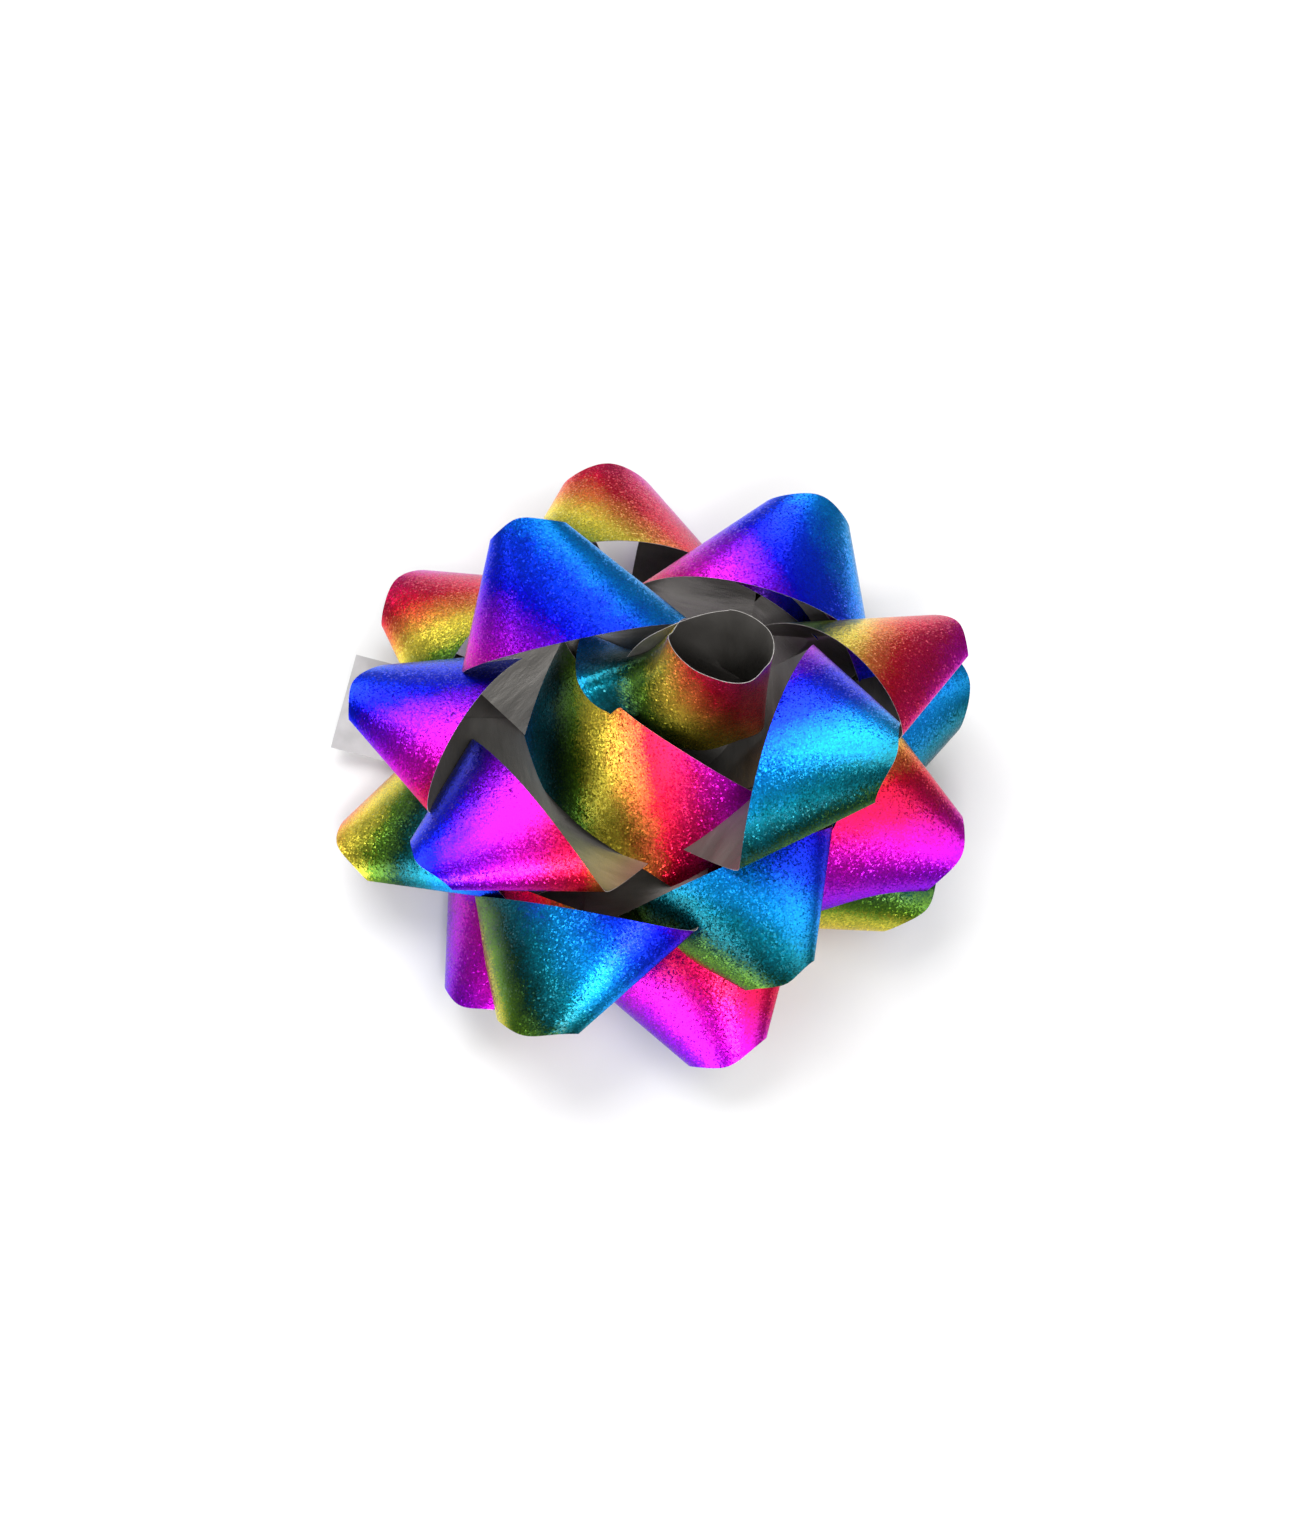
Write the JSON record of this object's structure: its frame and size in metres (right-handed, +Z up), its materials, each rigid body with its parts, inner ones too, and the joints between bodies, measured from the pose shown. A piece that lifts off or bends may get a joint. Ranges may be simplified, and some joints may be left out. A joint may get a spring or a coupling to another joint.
{
  "type": "looped ribbon gift bow",
  "caption": "Self-adhesive gift bow wound from one strip of rainbow metallic ribbon, with pointed loops in tiers on a pin and card base.",
  "frame": {"origin": "on the pin's axis, at the underside of the release paper", "axes": "+Z up along the pin, away from the gift; +X and +Y across the base, with the pull tab of the release paper pointing along -X and a little towards +Y"},
  "size_m": [0.0967, 0.0977, 0.0451],
  "materials": {
    "ribbon": "metallised film, printed in diagonal rainbow bands with a fine sparkle on the front, satin grey on the back",
    "pin": "clear moulded plastic",
    "card": "matt white card",
    "foam": "white foam, tacky",
    "release_paper": "smooth siliconised paper, slightly see-through"
  },
  "bodies": {
    "bow": {"bottom_loop_1": "ribbon", "bottom_loop_2": "ribbon", "bottom_loop_3": "ribbon", "bottom_loop_4": "ribbon", "bottom_loop_5": "ribbon", "bottom_loop_6": "ribbon", "bottom_loop_7": "ribbon", "bottom_loop_8": "ribbon", "middle_loop_1": "ribbon", "middle_loop_2": "ribbon", "middle_loop_3": "ribbon", "middle_loop_4": "ribbon", "middle_loop_5": "ribbon", "middle_loop_6": "ribbon", "middle_loop_7": "ribbon", "middle_loop_8": "ribbon", "top_loop_1": "ribbon", "top_loop_2": "ribbon", "centre_loop": "ribbon", "ribbon_crossings": "ribbon", "centre_pin": "pin", "backing_disc": "card", "adhesive_pad": "foam"},
    "release_paper": {"release_liner": "release_paper"}
  },
  "joints": [
    {"name": "release_paper_peel", "type": "slide", "parent": "bow", "child": "release_paper", "axis": [-0.9781, 0.2079, 0], "range_m": [0, 0.04]}
  ]
}
